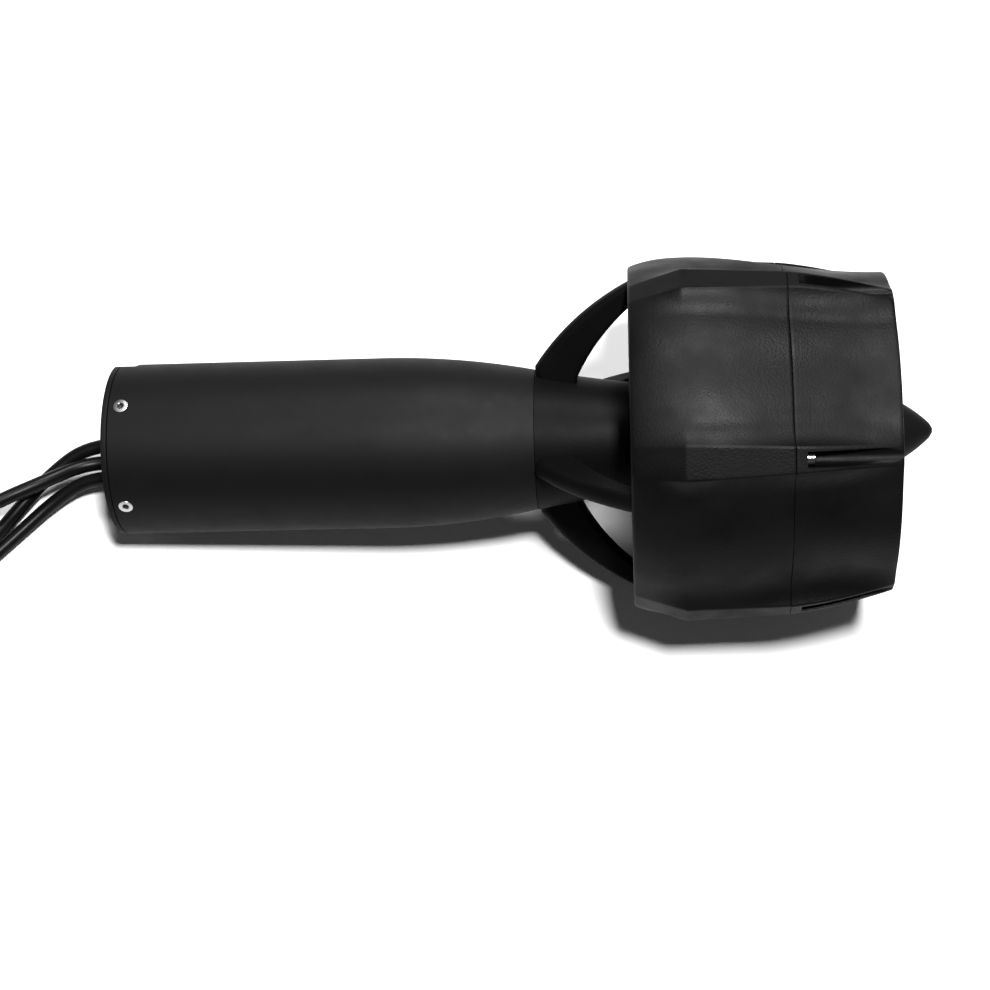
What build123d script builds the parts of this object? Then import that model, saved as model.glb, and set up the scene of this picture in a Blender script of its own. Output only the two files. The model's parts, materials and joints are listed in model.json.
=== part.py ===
from build123d import *
import math
import os

# Ducted electric drive pod for a hydrofoil board.
# Millimetres. Everything rigid is modelled along +X, the shaft axis, with x = 0 on the front face of
# the pod and x growing towards the propeller. The last step lays the pod on a bench, which its front
# edge and the duct's lowest lobe touch, with +Z up and the origin under the middle of the box. The three
# free leads are routed in that bench frame.

# Pod housing
pod_radius = 32.5
pod_wall = 3.5
pod_straight = 102.0
pod_end_radius = 26.6
edge_break = 0.4
tail_flat_count = 4
bulkhead_gap = 3.0
socket_depth = 8.5
socket_radius = 22.0
seal_shelf = 3.5
tap_runout = 2.0

# Front cap
flange_thick = 2.2
cap_plug = 15.8
cap_pocket_depth = 2.5
cap_pocket_radius = 7.5
seal_cord = 1.5
seal_groove_width = 1.9
seal_side_gap = 0.2
seal_groove_x = 12.6
cap_bolt_circle = 23.0
cap_bolt_count = 4
cap_bolt_hole = 1.65
cap_bolt_depth = 9.0
cap_bolt_phase = 18.0
key_flat_depth = 1.1
key_flat_length = 8.2
key_flat_phase = 20.7
key_runout = 2.2

# Radial cap screws, in four of five equal places, the fifth being the key flat
cap_screw_x = 6.9
cap_screw_places = 5
cap_screw_phase = 82.0
cap_screw_length = 6.0
cap_screw_sink = 0.15
small_screw_radius = 1.5
small_head_radius = 2.75
small_key_width = 2.0
small_key_depth = 1.3

# Leads where they pass the cap
lead_radius = 2.75
lead_circle = 17.5
lead_phases = {"a": -61.5, "b": -84.0, "c": -106.5}
gland_radius = 4.0
gland_depth = 3.0
gland_reach = 5.0

# Bearings
bearing_bore = 5.0
bearing_outside = 13.0
bearing_width = 8.0
ball_radius = 2.38
ball_flat_share = 0.88
ball_count = 7
inner_land = 7.3
outer_land = 10.7
cage_thick = 1.3
cage_width = 5.4
bearing_inset = 1.5
bearing_shoulder = 10.6

# Shaft
shaft_start = 9.0
circlip_thick = 1.0
circlip_radius = 7.0
thread_radius = 4.0
shaft_thread_length = 21.0

# Shaft seals
seal_radius = 9.5
seal_width = 7.0
seal_count = 2

# Motor
winding_gap = 8.0
winding_reach = 8.0
stack_length = 80.0
slot_count = 12
tooth_half = 2.3
back_iron = 4.0
tooth_tip = 1.4
slot_opening = 1.1
slot_liner = 0.4
winding_clear = 1.6
winding_lip = 1.7
rotor_core_radius = 13.5
magnet_thick = 2.5
magnet_count = 8
magnet_gap_angle = 3.0
band_thick = 0.4
air_gap = 0.6
balance_ring = 3.0
balance_radius = 15.0
wave_thick = 0.4
wave_width = 1.6

# Hub behind the pod
hub_mid_back = 35.5
hub_mid_radius = 21.0
hub_length = 67.5
hub_end_radius = 18.3
hub_bore = 8.0
hub_flat_count = 3
hub_screw_circle = 13.5
hub_screw_count = 4
hub_screw_seat = 16.0
hub_screw_length = 24.0
hub_screw_radius = 2.0
hub_head_radius = 3.5
hub_head_height = 4.0

# Struts from the hub to the duct
strut_count = 4
strut_phase = 45.0
strut_thick = 7.0
strut_nose_round = 3.2
strut_nose_slant = 2.4
strut_nose_reach = 2.8
strut_tail_slant = 1.2
strut_root = 5.0
strut_nose_bow = 3.38
strut_foot_length = 15.7
strut_foot_drop = 1.3
strut_tail_bow = 3.59
strut_head_length = 12.0
strut_head_sink = 1.6
strut_head_lift = 4.0

# Duct, its heights counted from the bore
duct_setback = 35.6
duct_front_length = 56.9
duct_rear_length = 38.0
duct_bore = 57.3
mouth_flare = 5.3
mouth_length = 30.0
mouth_lip = 0.9
mouth_rim = 1.5
mouth_flat_count = 3
rear_rim = 2.4
lobe_stand = 10.0
lobe_full_back = 20.9
lobe_front_power = 2.6
lobe_rear_power = 0.92
rib_count = 6
rib_foot = 13.5
rib_kink_back = 19.2
rib_stand = 14.0
rib_front_drop = 6.6
rib_seam_drop = 1.4
rib_rear_drop = 6.9
rib_rear_power = 1.5
rib_kink_half = 6.35
rib_front_narrowing = 1.2
rib_rear_narrowing = 3.0
front_station_count = 3
rear_station_count = 5
lip_tongue = 3.0
lip_tongue_stand = 1.9
lip_tongue_thick = 1.6

# Screws that join the duct halves
duct_screw_stand = 7.1
duct_screw_seat = 4.0
duct_screw_length = 12.0
small_head_height = 3.0
channel_half = 2.95
screw_tail = 1.0

# Propeller
blade_count = 3
tip_gap = 1.0
prop_gap = 4.0
prop_hub_radius = 17.5
prop_bore_length = 32.0
nut_pocket_radius = 10.5
blade_pitch = 118.0
blade_edge = 0.9
blade_centre = 22.0
blade_phase = 90.0
blade_root_chord = 31.0
blade_mid_chord = 41.0
blade_tip_chord = 38.0
blade_root_thick = 5.0
blade_inner_thick = 3.7
blade_outer_thick = 2.6
blade_tip_thick = 1.8
blade_inner_chord = 38.1
blade_root_station = 13.1
blade_inner_share = 0.48
blade_outer_share = 0.74
blade_overshoot = 2.0
blade_camber_share = 0.35
blade_belly_share = 0.06
blade_sink = 2.0
blade_room = 10.0
pin_radius = 2.0
pin_half_length = 12.0
pin_x = 4.0
pin_slot_gap = 0.02
washer_radius = 8.0
washer_thick = 1.6
nut_width = 13.0
nut_height = 8.0
nut_collar = 5.6
nut_collar_height = 2.0
nut_room = 0.4

# Spinner
spinner_length = 32.0
spinner_spigot = 3.0
spinner_bore_depth = 10.0
spinner_tip = 1.6
spinner_belly_share = 0.66
spinner_belly_radius = 10.24
spinner_flat_count = 5

# Clearances
running_gap = 0.03
slip_gap = 0.05
hole_gap = 0.15
ball_gap = 0.05
cut_over = 1.0

# Free leads on the bench, in the bench frame
coil_centre_x = -256.0
coil_centre_y = -42.0
coil_outer_turn = 33.0
coil_wide_count = 2
coil_layer_count = 2
cord_side_count = 12
arc_share = 0.45
tie_phase = 75.0
tie_width = 7.0
tie_thick = 0.8
tie_ease = 0.35
sleeve_length = 16.0
sleeve_grip = 6.0
sleeve_wall = 0.6
bullet_pin_radius = 2.25
bullet_pin_length = 14.0
bullet_nose = 1.2
bullet_shoulder = 1.0

# Bench
rest_station_count = 200

# Places that follow from the sizes above
pod_bore = pod_radius - pod_wall
plug_end = flange_thick + cap_plug
front_bearing_x = plug_end - bearing_width
winding_start = plug_end + winding_gap
stack_start = winding_start + winding_reach
stack_end = stack_start + stack_length
winding_end = stack_end + winding_reach
bulkhead_x = winding_end + bulkhead_gap
rear_bearing_x = bulkhead_x + bearing_inset
seal_x = rear_bearing_x + bearing_width + seal_shelf
socket_x = seal_x + seal_count * seal_width
pod_length = socket_x + socket_depth
winding_outer = pod_bore - winding_clear
ball_circle = (inner_land + outer_land) / 2
magnet_outside = rotor_core_radius + magnet_thick
band_outside = magnet_outside + band_thick
stator_inside = band_outside + air_gap
winding_inner = stator_inside + winding_lip
hub_mid_x = pod_length + hub_mid_back
hub_end_x = pod_length + hub_length
duct_front_x = pod_length + duct_setback
duct_seam_x = duct_front_x + duct_front_length
duct_rear_x = duct_seam_x + duct_rear_length
mouth_radius = duct_bore + mouth_flare
lobe_front_radius = mouth_radius + mouth_rim
lobe_full_radius = duct_bore + lobe_stand
lobe_rear_radius = duct_bore + rear_rim
lobe_full_x = duct_front_x + lobe_full_back
rib_kink_x = duct_front_x + rib_kink_back
rib_kink_radius = duct_bore + rib_stand
lip_tongue_radius = duct_bore + lip_tongue_stand
duct_screw_radius = duct_bore + duct_screw_stand
prop_x = hub_end_x + prop_gap
prop_seat = prop_x + prop_bore_length
nut_x = prop_seat + washer_thick
prop_end = nut_x + nut_height + nut_room + spinner_spigot
shaft_shoulder = prop_seat - slip_gap
shaft_end = shaft_shoulder + shaft_thread_length
tip_radius = duct_bore - tip_gap
hub_head_x = socket_x + hub_screw_seat
duct_head_x = duct_seam_x + duct_screw_seat


def turned(points):
    """A solid of revolution about the shaft axis from (x, radius) corners."""
    return revolve(make_face(Polyline(*points, close=True)), Axis.X)


def rod(start, end, radius, bore=0.0):
    """A round bar or tube along the shaft axis."""
    return turned([(start, bore), (end, bore), (end, radius), (start, radius)])


def around(shape, count, phase=0.0):
    """Copies of a shape set evenly about the shaft axis."""
    return [Rot(X=phase + i * 360 / count) * shape for i in range(count)]


def minus(shape, tools):
    for tool in tools:
        shape = shape - tool
    return shape


def group(shapes):
    return Compound(children=list(shapes))


def along(x, radius, phase=0.0):
    """A place on a circle about the shaft, facing along the shaft."""
    return Rot(X=phase) * Pos(x, radius, 0) * Rot(Y=90)


def pin(x_start, x_end, radius, circle, phase=0.0):
    """A round pin parallel to the shaft, off its axis."""
    length = x_end - x_start
    return along(x_start, circle, phase) * Cylinder(radius, length, align=(Align.CENTER, Align.CENTER, Align.MIN))


def arc_points(start, middle, end, flats):
    """Corners of short flats along the arc through three points."""
    arc = ThreePointArc(start, middle, end)
    places = [arc @ (i / flats) for i in range(flats + 1)]
    return [(place.X, place.Y) for place in places]


def tangent_arc(start, end, flats):
    """Corners along an arc that leaves its start level with the shaft and falls to its end."""
    run = end[0] - start[0]
    drop = start[1] - end[1]
    bend = (run * run + drop * drop) / (2 * drop)
    half = math.asin(run / bend) / 2
    middle = (start[0] + bend * math.sin(half), start[1] - bend * (1 - math.cos(half)))
    return arc_points(start, middle, end, flats)


def bowed(start, end, bow):
    """The middle of an arc that stands off the chord from start to end, to its left."""
    run = end[0] - start[0]
    rise = end[1] - start[1]
    length = math.hypot(run, rise)
    return ((start[0] + end[0]) / 2 - bow * rise / length, (start[1] + end[1]) / 2 + bow * run / length)


# Pod outline: straight, then one arc that is tangent to it
def boat_tail():
    return tangent_arc((pod_straight, pod_radius), (pod_length, pod_end_radius), tail_flat_count)


def key_flat():
    """The cut of the milled flat at the front edge, with the cutter's run-out."""
    floor = pod_radius - key_flat_depth
    over = pod_radius + key_flat_depth
    points = [
        (-flange_thick, floor),
        (key_flat_length, floor),
        (key_flat_length + key_runout, over),
        (-flange_thick, over),
    ]
    blank = extrude(make_face(Polyline(*points, close=True)), amount=pod_bore / 2, both=True)
    return Rot(X=key_flat_phase) * blank


def cap_screw_angles():
    """The places of the radial screws, all but the last, which the key flat takes."""
    return [cap_screw_phase + i * 360 / cap_screw_places for i in range(cap_screw_places - 1)]


def radial(x, radius, phase):
    """A place on the pod's side, facing outwards."""
    return Rot(X=phase) * Pos(x, radius, 0) * Rot(X=-90)


def small_key(depth, width):
    return extrude(RegularPolygon(width / 2, 6, major_radius=False), amount=-depth)


def cap_screw_form(gap, top):
    """The countersunk outline turned about its own axis, its head face at height nought."""
    shank = small_screw_radius + gap
    head = small_head_radius + gap
    cone = head - shank
    outline = [(0, -cap_screw_length), (shank, -cap_screw_length), (shank, -cone), (head, 0), (head, top), (0, top)]
    if top == 0:
        outline.remove((head, top))
    return revolve(Plane.XZ * make_face(Polyline(*outline, close=True)), Axis.Z)


def cap_screw():
    return cap_screw_form(0, 0) - small_key(small_key_depth, small_key_width)


def cap_screw_hole():
    """The countersunk hole for it, opening outwards past the pod's side."""
    return cap_screw_form(hole_gap, pod_wall)


def motor_housing():
    outline = [
        (flange_thick, pod_bore),
        (flange_thick, pod_radius - edge_break),
        (flange_thick + edge_break, pod_radius),
        *boat_tail(),
        (pod_length, socket_radius),
        (socket_x, socket_radius),
        (socket_x, seal_radius),
        (seal_x, seal_radius),
        (seal_x, bearing_shoulder),
        (rear_bearing_x + bearing_width, bearing_shoulder),
        (rear_bearing_x + bearing_width, bearing_outside),
        (bulkhead_x, bearing_outside),
        (bulkhead_x, pod_bore),
    ]
    body = turned(outline)
    top = pod_radius - cap_screw_sink
    holes = [radial(cap_screw_x, top, a) * cap_screw_hole() for a in cap_screw_angles()]
    tap_end = hub_head_x - hub_screw_length - tap_runout
    tapped = [pin(tap_end, socket_x, hub_screw_radius, hub_screw_circle, a) for a in hub_screw_angles()]
    return minus(body, holes + tapped + [key_flat()])


def front_cap():
    plug_radius = pod_bore - slip_gap
    body = turned(
        [
            (0, 0),
            (0, pod_radius - edge_break),
            (edge_break, pod_radius),
            (flange_thick, pod_radius),
            (flange_thick, plug_radius),
            (plug_end, plug_radius),
            (plug_end, bearing_outside),
            (front_bearing_x, bearing_outside),
            (front_bearing_x, cap_pocket_radius),
            (front_bearing_x - cap_pocket_depth, cap_pocket_radius),
            (front_bearing_x - cap_pocket_depth, 0),
        ]
    )
    floor = pod_bore - seal_cord
    groove = rod(seal_groove_x, seal_groove_x + seal_groove_width, pod_radius, floor)
    top = pod_radius - cap_screw_sink
    taps = [
        radial(cap_screw_x, top, a) * Cylinder(
            small_screw_radius, cap_screw_length, align=(Align.CENTER, Align.CENTER, Align.MAX)
        )
        for a in cap_screw_angles()
    ]
    bolts = [
        pin(0, cap_bolt_depth, cap_bolt_hole, cap_bolt_circle, cap_bolt_phase + i * 360 / cap_bolt_count)
        for i in range(cap_bolt_count)
    ]
    passages = []
    for phase in lead_phases.values():
        passages.append(pin(0, plug_end, lead_radius + slip_gap, lead_circle, phase))
        passages.append(pin(0, gland_depth, gland_radius, lead_circle, phase))
    return minus(body, taps + bolts + passages + [groove, key_flat()])


def front_cap_seal():
    """A sealing ring of square section, squeezed between its groove and the bore."""
    start = seal_groove_x + seal_side_gap
    return rod(start, seal_groove_x + seal_groove_width - seal_side_gap, pod_bore, pod_bore - seal_cord)


def front_cap_screws():
    top = pod_radius - cap_screw_sink
    return group(radial(cap_screw_x, top, a) * cap_screw() for a in cap_screw_angles())


def cable_glands():
    glands = []
    for phase in lead_phases.values():
        collar = pin(-gland_reach, gland_depth, gland_radius, lead_circle, phase)
        glands.append(collar - pin(-gland_reach, gland_depth, lead_radius, lead_circle, phase))
    return group(glands)


def lead_tails():
    return group(pin(-gland_reach, winding_start, lead_radius, lead_circle, a) for a in lead_phases.values())


# Stator
def lamination(thick, inside, outside, liner):
    """One slotted ring of the stator's cross-section."""
    blank = Circle(outside) - Circle(inside)
    return extrude(Plane.YZ * minus(blank, slot_faces(inside, liner)), amount=thick)


def slot_face(inside, liner):
    """A slot between two teeth, centred on the first axis."""
    half = math.radians(180 / slot_count)
    offset = tooth_half + liner
    start = inside + tooth_tip + liner
    end = pod_bore - back_iron - liner
    near = (start * math.cos(half) + offset * math.sin(half), start * math.sin(half) - offset * math.cos(half))
    far = (end * math.cos(half) + offset * math.sin(half), end * math.sin(half) - offset * math.cos(half))
    corners = [near, far, (far[0], -far[1]), (near[0], -near[1])]
    return make_face(Polyline(*corners, close=True))


def slot_faces(inside, liner):
    opening = Pos(inside, 0) * Rectangle(2 * (tooth_tip + tooth_half), 2 * slot_opening)
    slot = slot_face(inside, liner) + opening
    return [Rot(Z=i * 360 / slot_count) * slot for i in range(slot_count)]


def stator_core():
    return Pos(stack_start, 0, 0) * lamination(stack_length, stator_inside, pod_bore, 0.0)


def stator_windings():
    bars = [Rot(Z=i * 360 / slot_count) * slot_face(stator_inside, slot_liner) for i in range(slot_count)]
    shape = Pos(stack_start, 0, 0) * extrude(Plane.YZ * Sketch(children=bars), amount=stack_length)
    for start, end in ((winding_start, stack_start), (stack_end, winding_end)):
        shape = shape + rod(start, end, winding_outer, winding_inner)
    return shape


# Bearings
def bearing_places():
    return [front_bearing_x, rear_bearing_x]


def bearing_ring(x, inside, outside, land, groove):
    """One race: a plain ring whose ball side has a groove of straight flanks."""
    middle = x + bearing_width / 2
    body = rod(x, x + bearing_width, outside, inside)
    side = groove - land
    track = turned(
        [
            (middle - ball_radius, land - side),
            (middle - ball_radius, land),
            (middle - ball_radius / 2, groove),
            (middle + ball_radius / 2, groove),
            (middle + ball_radius, land),
            (middle + ball_radius, land - side),
        ]
    )
    return body - track


def outer_rings():
    groove = ball_circle + ball_radius + ball_gap
    return group(bearing_ring(x, outer_land, bearing_outside, outer_land, groove) for x in bearing_places())


def inner_rings():
    groove = ball_circle - ball_radius - ball_gap
    return group(bearing_ring(x, bearing_bore, inner_land, inner_land, groove) for x in bearing_places())


def ball():
    """A ball with eighteen flats, its corners just inside the true sphere."""
    side = 2 * ball_radius * ball_flat_share
    cube = Box(side, side, side)
    return cube & (Rot(X=45) * cube) & (Rot(Y=45) * cube) & (Rot(Z=45) * cube)


def ball_set(x):
    """The balls of one bearing in their cage, a many-sided ring."""
    middle = x + bearing_width / 2
    sides = 2 * ball_count
    ring = RegularPolygon(ball_circle + cage_thick / 2, sides) - RegularPolygon(ball_circle - cage_thick / 2, sides)
    shape = Pos(middle - cage_width / 2, 0, 0) * extrude(Plane.YZ * ring, amount=cage_width)
    for one in around(Pos(middle, ball_circle, 0) * ball(), ball_count):
        shape = shape + one
    return shape


def wave_washer():
    """The spring washer that preloads the rear bearing, squeezed flat."""
    start = rear_bearing_x - wave_thick
    return rod(start, rear_bearing_x, bearing_outside - slip_gap, bearing_outside - wave_width)


def shaft_seals():
    places = [seal_x + i * seal_width for i in range(seal_count)]
    return group(rod(x, x + seal_width, seal_radius, bearing_bore + running_gap) for x in places)


# Rotor
def motor_shaft():
    break_edge = edge_break
    blank = turned(
        [
            (shaft_start, 0),
            (shaft_start, bearing_bore - break_edge),
            (shaft_start + break_edge, bearing_bore),
            (shaft_shoulder, bearing_bore),
            (shaft_shoulder, thread_radius),
            (shaft_end - break_edge, thread_radius),
            (shaft_end, thread_radius - break_edge),
            (shaft_end, 0),
        ]
    )
    return blank - cross_pin(pin_radius, bearing_bore + cut_over)


def cross_pin(radius, half):
    return Pos(prop_x + pin_x, 0, 0) * Rot(X=90) * Cylinder(radius, 2 * half)


def shaft_circlips():
    front = rod(plug_end + running_gap, plug_end + running_gap + circlip_thick, circlip_radius, bearing_bore)
    rear_end = rear_bearing_x - running_gap
    rear = rod(rear_end - circlip_thick, rear_end, circlip_radius, bearing_bore)
    return group([front, rear])


def rotor_core():
    return rod(stack_start, stack_end, rotor_core_radius, bearing_bore)


def rotor_magnets():
    tile = Circle(magnet_outside) - Circle(rotor_core_radius)
    half = math.radians(180 / magnet_count - magnet_gap_angle / 2)
    reach = 2 * magnet_outside
    wedge = make_face(
        Polyline(
            (0, 0),
            (reach * math.cos(half), reach * math.sin(half)),
            (reach * math.cos(half), -reach * math.sin(half)),
            close=True,
        )
    )
    blank = Pos(stack_start, 0, 0) * extrude(Plane.YZ * (tile & wedge), amount=stack_length)
    return group(around(blank, magnet_count))


def rotor_band():
    return rod(stack_start, stack_end, band_outside, magnet_outside)


def rotor_balance_rings():
    front = rod(stack_start - balance_ring, stack_start, balance_radius, bearing_bore)
    rear = rod(stack_end, stack_end + balance_ring, balance_radius, bearing_bore)
    return group([front, rear])


# Hub, struts and the front half of the duct
def hub_screw_angles():
    return [i * 360 / hub_screw_count for i in range(hub_screw_count)]


def hub():
    spigot = socket_radius - slip_gap
    start = (pod_length + edge_break / 2, pod_end_radius)
    side = arc_points(start, (hub_mid_x, hub_mid_radius), (hub_end_x, hub_end_radius), hub_flat_count)
    outline = [
        (hub_end_x, hub_bore),
        (socket_x, hub_bore),
        (socket_x, spigot),
        (pod_length, spigot),
        (pod_length, pod_end_radius - edge_break / 2),
        *side,
    ]
    return turned(outline)


def hub_screw_holes():
    holes = []
    for phase in hub_screw_angles():
        holes.append(pin(socket_x, hub_head_x, hub_screw_radius + hole_gap, hub_screw_circle, phase))
        holes.append(pin(hub_head_x, hub_end_x, hub_head_radius + hole_gap, hub_screw_circle, phase))
    return holes


def strut():
    """One swept strut, a bowed plate with a rounded nose, in the plane of the first two axes."""
    nose_x = pod_length + edge_break
    tail_x = nose_x + strut_foot_length
    nose_low = (nose_x, pod_end_radius - strut_root)
    nose_start = (nose_x, pod_end_radius + strut_nose_round)
    nose_end = (duct_front_x, mouth_radius - strut_head_sink)
    nose_mid = bowed(nose_start, nose_end, strut_nose_bow)
    tail_start = (duct_front_x + strut_head_length, duct_bore + strut_head_lift)
    tail_end = (tail_x, pod_end_radius - strut_foot_drop)
    tail_mid = bowed(tail_end, tail_start, strut_tail_bow)
    tail_low = (tail_x, pod_end_radius - strut_root)
    outline = [
        Line(nose_low, nose_start),
        ThreePointArc(nose_start, nose_mid, nose_end),
        Line(nose_end, tail_start),
        ThreePointArc(tail_start, tail_mid, tail_end),
        Line(tail_end, tail_low),
        Line(tail_low, nose_low),
    ]
    plate = extrude(make_face(outline), amount=strut_thick / 2, both=True)
    curved = plate.edges().filter_by(GeomType.CIRCLE).sort_by(Axis.X)
    plate = chamfer(curved[:2], strut_nose_slant, strut_nose_reach)
    curved = plate.edges().filter_by(GeomType.CIRCLE).sort_by(Axis.X)
    return chamfer(curved[-2:], strut_tail_slant)


def lobe_radius(x):
    """The duct's outer radius between its ribs."""
    if x < lobe_full_x:
        share = (lobe_full_x - x) / (lobe_full_x - duct_front_x)
        return lobe_full_radius - (lobe_full_radius - lobe_front_radius) * share ** lobe_front_power
    share = min(1.0, (x - lobe_full_x) / (duct_rear_x - lobe_full_x))
    height = (1 + math.cos(math.pi * share ** lobe_rear_power)) / 2
    return lobe_rear_radius + (lobe_full_radius - lobe_rear_radius) * height


def rib_radius(x):
    """The radius of a rib's flat top: a ramp, a long gentle fall, and a curve down to the rear rim."""
    if x <= rib_kink_x:
        share = (rib_kink_x - x) / (rib_kink_x - duct_front_x)
        return rib_kink_radius - rib_front_drop * share
    fall = rib_seam_drop * (x - rib_kink_x) / (duct_seam_x - rib_kink_x)
    late = max(0.0, (x - duct_seam_x) / (duct_rear_x - duct_seam_x))
    return rib_kink_radius - fall - rib_rear_drop * late ** rib_rear_power


def rib_half(x):
    """Half the width of a rib's flat top."""
    if x <= rib_kink_x:
        share = (rib_kink_x - x) / (rib_kink_x - duct_front_x)
        return rib_kink_half - rib_front_narrowing * share
    share = (x - rib_kink_x) / (duct_rear_x - rib_kink_x)
    return rib_kink_half - rib_rear_narrowing * share


def polar(radius, angle):
    return (radius * math.cos(angle), radius * math.sin(angle))


def beside(radius, side, angle):
    """A place to one side of a radial line, in the plane across the shaft."""
    ahead = polar(radius, angle)
    across = polar(side, angle)
    return (ahead[0] - across[1], ahead[1] + across[0])


def duct_section(x):
    """The duct's whole outer outline at x: flat rib tops, scooped flanks and round lobes."""
    edges = []
    top = rib_radius(x)
    half = rib_half(x)
    lobe = lobe_radius(x)
    foot = math.radians(rib_foot)
    step = math.radians(360 / rib_count)
    for i in range(rib_count):
        turn = i * step
        ahead = turn + step
        right = beside(top, half, turn)
        foot_out = polar(lobe, turn + foot)
        foot_in = polar(lobe, ahead - foot)
        down = (math.sin(turn + foot), -math.cos(turn + foot))
        up = (-math.sin(ahead - foot), math.cos(ahead - foot))
        edges.append(Line(beside(top, -half, turn), right))
        edges.append(TangentArc([foot_out, right], tangent=down))
        edges.append(ThreePointArc(foot_out, polar(lobe, turn + step / 2), foot_in))
        edges.append(TangentArc([foot_in, beside(top, -half, ahead)], tangent=up))
    return Plane(origin=(x, 0, 0), x_dir=(0, 1, 0), z_dir=(1, 0, 0)) * make_face(edges)


def duct_span(stations):
    return loft([duct_section(x) for x in stations], ruled=True)


def spread(start, end, count):
    return [start + (end - start) * i / (count - 1) for i in range(count)]


def duct_hollow():
    """The water path through the duct: a bell mouth and a straight bore."""
    mouth_end = duct_front_x + mouth_length
    beyond = duct_rear_x + cut_over
    ahead = duct_front_x - cut_over
    flare = tangent_arc((0, -duct_bore), (mouth_length, -mouth_radius), mouth_flat_count)
    mouth = [(mouth_end - run, -fall) for run, fall in reversed(flare)]
    outline = [(ahead, 0), (ahead, mouth_radius + mouth_lip), *mouth, (beyond, duct_bore), (beyond, 0)]
    return turned(outline)


def rib_angles():
    return [i * 360 / rib_count for i in range(rib_count)]


def duct_front():
    ramp = duct_span(spread(duct_front_x, rib_kink_x, front_station_count))
    ring = ramp + duct_span(spread(rib_kink_x, duct_seam_x, front_station_count)) - duct_hollow()
    tongue = rod(
        duct_seam_x - lip_tongue - slip_gap,
        duct_seam_x + cut_over,
        lip_tongue_radius + lip_tongue_thick + slip_gap,
        lip_tongue_radius - slip_gap,
    )
    shape = hub() + ring
    for blade in around(strut(), strut_count, strut_phase):
        shape = shape + blade
    pockets = [tongue]
    for phase in rib_angles():
        end = duct_head_x - duct_screw_length - screw_tail
        pockets.append(pin(end, duct_seam_x, small_screw_radius, duct_screw_radius, phase))
    pockets.append(rod(socket_x - cut_over, hub_end_x + cut_over, hub_bore))
    return minus(shape, hub_screw_holes() + pockets)


def duct_rear():
    shape = duct_span(spread(duct_seam_x, duct_rear_x, rear_station_count)) - duct_hollow()
    shape = shape + rod(
        duct_seam_x - lip_tongue, duct_seam_x, lip_tongue_radius + lip_tongue_thick, lip_tongue_radius
    )
    cuts = []
    reach = rib_kink_radius - duct_screw_radius
    channel_end = duct_rear_x + cut_over
    for phase in rib_angles():
        cuts.append(pin(duct_seam_x, duct_head_x, small_screw_radius + hole_gap, duct_screw_radius, phase))
        cuts.append(pin(duct_head_x, channel_end, channel_half, duct_screw_radius, phase))
        slot = Pos(duct_head_x, duct_screw_radius, 0) * Box(
            channel_end - duct_head_x, reach, 2 * channel_half, align=(Align.MIN, Align.MIN, Align.CENTER)
        )
        cuts.append(Rot(X=phase) * slot)
    return minus(shape, cuts)


def head_screw(head_x, shank_end, head_radius, head_height, shank_radius, circle, phase):
    """A cylinder head screw parallel to the shaft, its head towards the rear."""
    body = pin(head_x, head_x + head_height, head_radius, circle, phase)
    body = body + pin(shank_end, head_x, shank_radius, circle, phase)
    return body


def duct_screws():
    end = duct_head_x - duct_screw_length
    return group(
        head_screw(
            duct_head_x, end, small_head_radius, small_head_height, small_screw_radius, duct_screw_radius, phase
        )
        for phase in rib_angles()
    )


def hub_screws():
    end = hub_head_x - hub_screw_length
    return group(
        head_screw(
            hub_head_x, end, hub_head_radius, hub_head_height, hub_screw_radius, hub_screw_circle, phase
        )
        for phase in hub_screw_angles()
    )


# Propeller
def blade_section(radius, chord, thick):
    """A cambered section on a flat plane across the blade, turned to the pitch at its radius."""
    half = chord / 2
    edge = blade_edge / 2
    camber = thick * blade_camber_share
    belly = -chord * blade_belly_share
    back = ThreePointArc((-half, edge), (belly, thick / 2 + camber), (half, edge))
    face = ThreePointArc((half, -edge), (belly, -thick / 2 + camber), (-half, -edge))
    outline = [back, Line((half, edge), (half, -edge)), face, Line((-half, -edge), (-half, edge))]
    angle = math.degrees(math.atan2(blade_pitch, 2 * math.pi * radius))
    plane = Plane(origin=(0, radius, 0), x_dir=(0, 0, 1), z_dir=(0, 1, 0))
    return plane * (Rot(Z=angle) * make_face(outline))


def blade():
    sections = [
        blade_section(blade_root_station, blade_root_chord, blade_root_thick),
        blade_section(tip_radius * blade_inner_share, blade_inner_chord, blade_inner_thick),
        blade_section(tip_radius * blade_outer_share, blade_mid_chord, blade_outer_thick),
        blade_section(tip_radius + blade_overshoot, blade_tip_chord, blade_tip_thick),
    ]
    return Pos(prop_x + blade_centre, 0, 0) * loft(sections)


def propeller():
    body = turned(
        [
            (prop_x, bearing_bore + slip_gap),
            (prop_x, prop_hub_radius),
            (prop_end, prop_hub_radius),
            (prop_end, nut_pocket_radius),
            (prop_seat, nut_pocket_radius),
            (prop_seat, bearing_bore + slip_gap),
        ]
    )
    shape = body
    core = rod(prop_x, prop_end, prop_hub_radius - blade_sink)
    swept = rod(prop_x - blade_room, prop_end + blade_room, tip_radius)
    for one in around(blade(), blade_count, blade_phase):
        shape = shape + ((one & swept) - core)
    slot_half = pin_radius + pin_slot_gap
    slot = Pos(prop_x, 0, 0) * Box(
        pin_x, 2 * (pin_half_length + slip_gap), 2 * slot_half, align=(Align.MIN, Align.CENTER, Align.CENTER)
    )
    return shape - slot - cross_pin(slot_half, pin_half_length + slip_gap)


def drive_pin():
    return cross_pin(pin_radius, pin_half_length)


def prop_washer():
    return rod(prop_seat, nut_x, washer_radius, thread_radius + slip_gap)


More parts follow.
